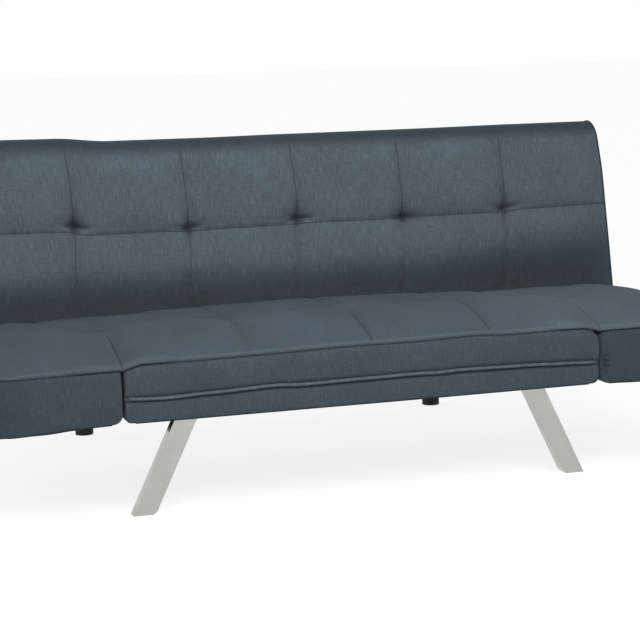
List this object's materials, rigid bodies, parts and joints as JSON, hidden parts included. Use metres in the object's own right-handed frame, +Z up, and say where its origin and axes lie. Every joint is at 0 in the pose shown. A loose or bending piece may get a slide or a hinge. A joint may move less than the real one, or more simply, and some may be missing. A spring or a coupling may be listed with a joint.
{
  "type": "click-clack sofa bed",
  "caption": "Tufted fabric sofa bed on splayed chrome legs: the seat's ends fold up into arms and the full-width backrest drops flat.",
  "frame": {"origin": "middle of the sofa's footprint on the floor, with the backrest up", "axes": "+X along the sofa, to the right as seen from in front, +Y from the seat's front to the rear legs, +Z up"},
  "size_m": [1.68, 0.9415, 0.7819],
  "materials": {
    "chrome": "polished",
    "black_rubber": "matte",
    "black_steel": "satin",
    "frame_wood": "matte",
    "plywood": "matte",
    "foam": "matte",
    "black_cloth": "matte",
    "blue_grey_fabric": "matte",
    "zinc": "satin"
  },
  "bodies": {
    "base": {"front_leg_left": "chrome", "front_leg_right": "chrome", "rear_leg_left": "chrome", "rear_leg_right": "chrome", "rear_foot_left": "black_rubber", "rear_foot_right": "black_rubber", "base_rail_left": "black_steel", "base_rail_right": "black_steel", "rear_cross_tube": "black_steel", "rail_buffers": "black_rubber", "frame_bolts": "zinc", "leg_blocks": "frame_wood", "seat_front_board": "frame_wood", "seat_rear_board": "frame_wood", "seat_cross_board": "frame_wood", "seat_left_board": "frame_wood", "seat_right_board": "frame_wood", "seat_webbing": "black_cloth", "seat_foam": "foam", "seat_cover": "blue_grey_fabric", "seat_welt": "blue_grey_fabric", "seat_dust_cover": "black_cloth", "seat_plate_left": "black_steel", "seat_plate_right": "black_steel", "pivot_bolts": "zinc", "pawl_springs": "zinc", "seat_hinge_leaves": "zinc", "seat_hinge_screws": "zinc", "arm_hinge_pins": "zinc"},
    "backrest": {"back_arm_left": "black_steel", "back_arm_right": "black_steel", "back_arm_bolts": "zinc", "back_bottom_board": "frame_wood", "back_top_board": "frame_wood", "back_outer_stile_left": "frame_wood", "back_outer_stile_right": "frame_wood", "back_inner_stile_left": "frame_wood", "back_inner_stile_right": "frame_wood", "back_webbing": "black_cloth", "back_foam": "foam", "back_cover": "blue_grey_fabric", "back_rear_panel": "blue_grey_fabric"},
    "left_arm": {"left_arm_deck": "plywood", "left_arm_inner_board": "frame_wood", "left_arm_end_boards": "frame_wood", "left_arm_foam": "foam", "left_arm_cover": "blue_grey_fabric", "left_arm_dust_cover": "black_cloth", "left_arm_hinge_leaves": "zinc", "left_arm_hinge_screws": "zinc"},
    "right_arm": {"right_arm_deck": "plywood", "right_arm_inner_board": "frame_wood", "right_arm_end_boards": "frame_wood", "right_arm_foam": "foam", "right_arm_cover": "blue_grey_fabric", "right_arm_dust_cover": "black_cloth", "right_arm_hinge_leaves": "zinc", "right_arm_hinge_screws": "zinc"},
    "left_pawl": {"pawl_left": "zinc"},
    "right_pawl": {"pawl_right": "zinc"}
  },
  "joints": [
    {"name": "back_fold", "type": "hinge", "parent": "base", "child": "backrest", "pos_m": [0, 0.11825, 0.285], "axis": [1, 0, 0], "range_deg": [-77.5, 6]},
    {"name": "left_arm_fold", "type": "hinge", "parent": "base", "child": "left_arm", "pos_m": [-0.56, 0, 0.336], "axis": [0, 1, 0], "range_deg": [0, 90]},
    {"name": "right_arm_fold", "type": "hinge", "parent": "base", "child": "right_arm", "pos_m": [0.56, 0, 0.336], "axis": [0, -1, 0], "range_deg": [0, 90]},
    {"name": "left_pawl_lift", "type": "hinge", "parent": "base", "child": "left_pawl", "pos_m": [-0.521, 0.07388, 0.27748], "axis": [1, 0, 0], "range_deg": [0, 15]},
    {"name": "right_pawl_lift", "type": "hinge", "parent": "base", "child": "right_pawl", "pos_m": [0.521, 0.07388, 0.27748], "axis": [1, 0, 0], "range_deg": [0, 15]}
  ]
}
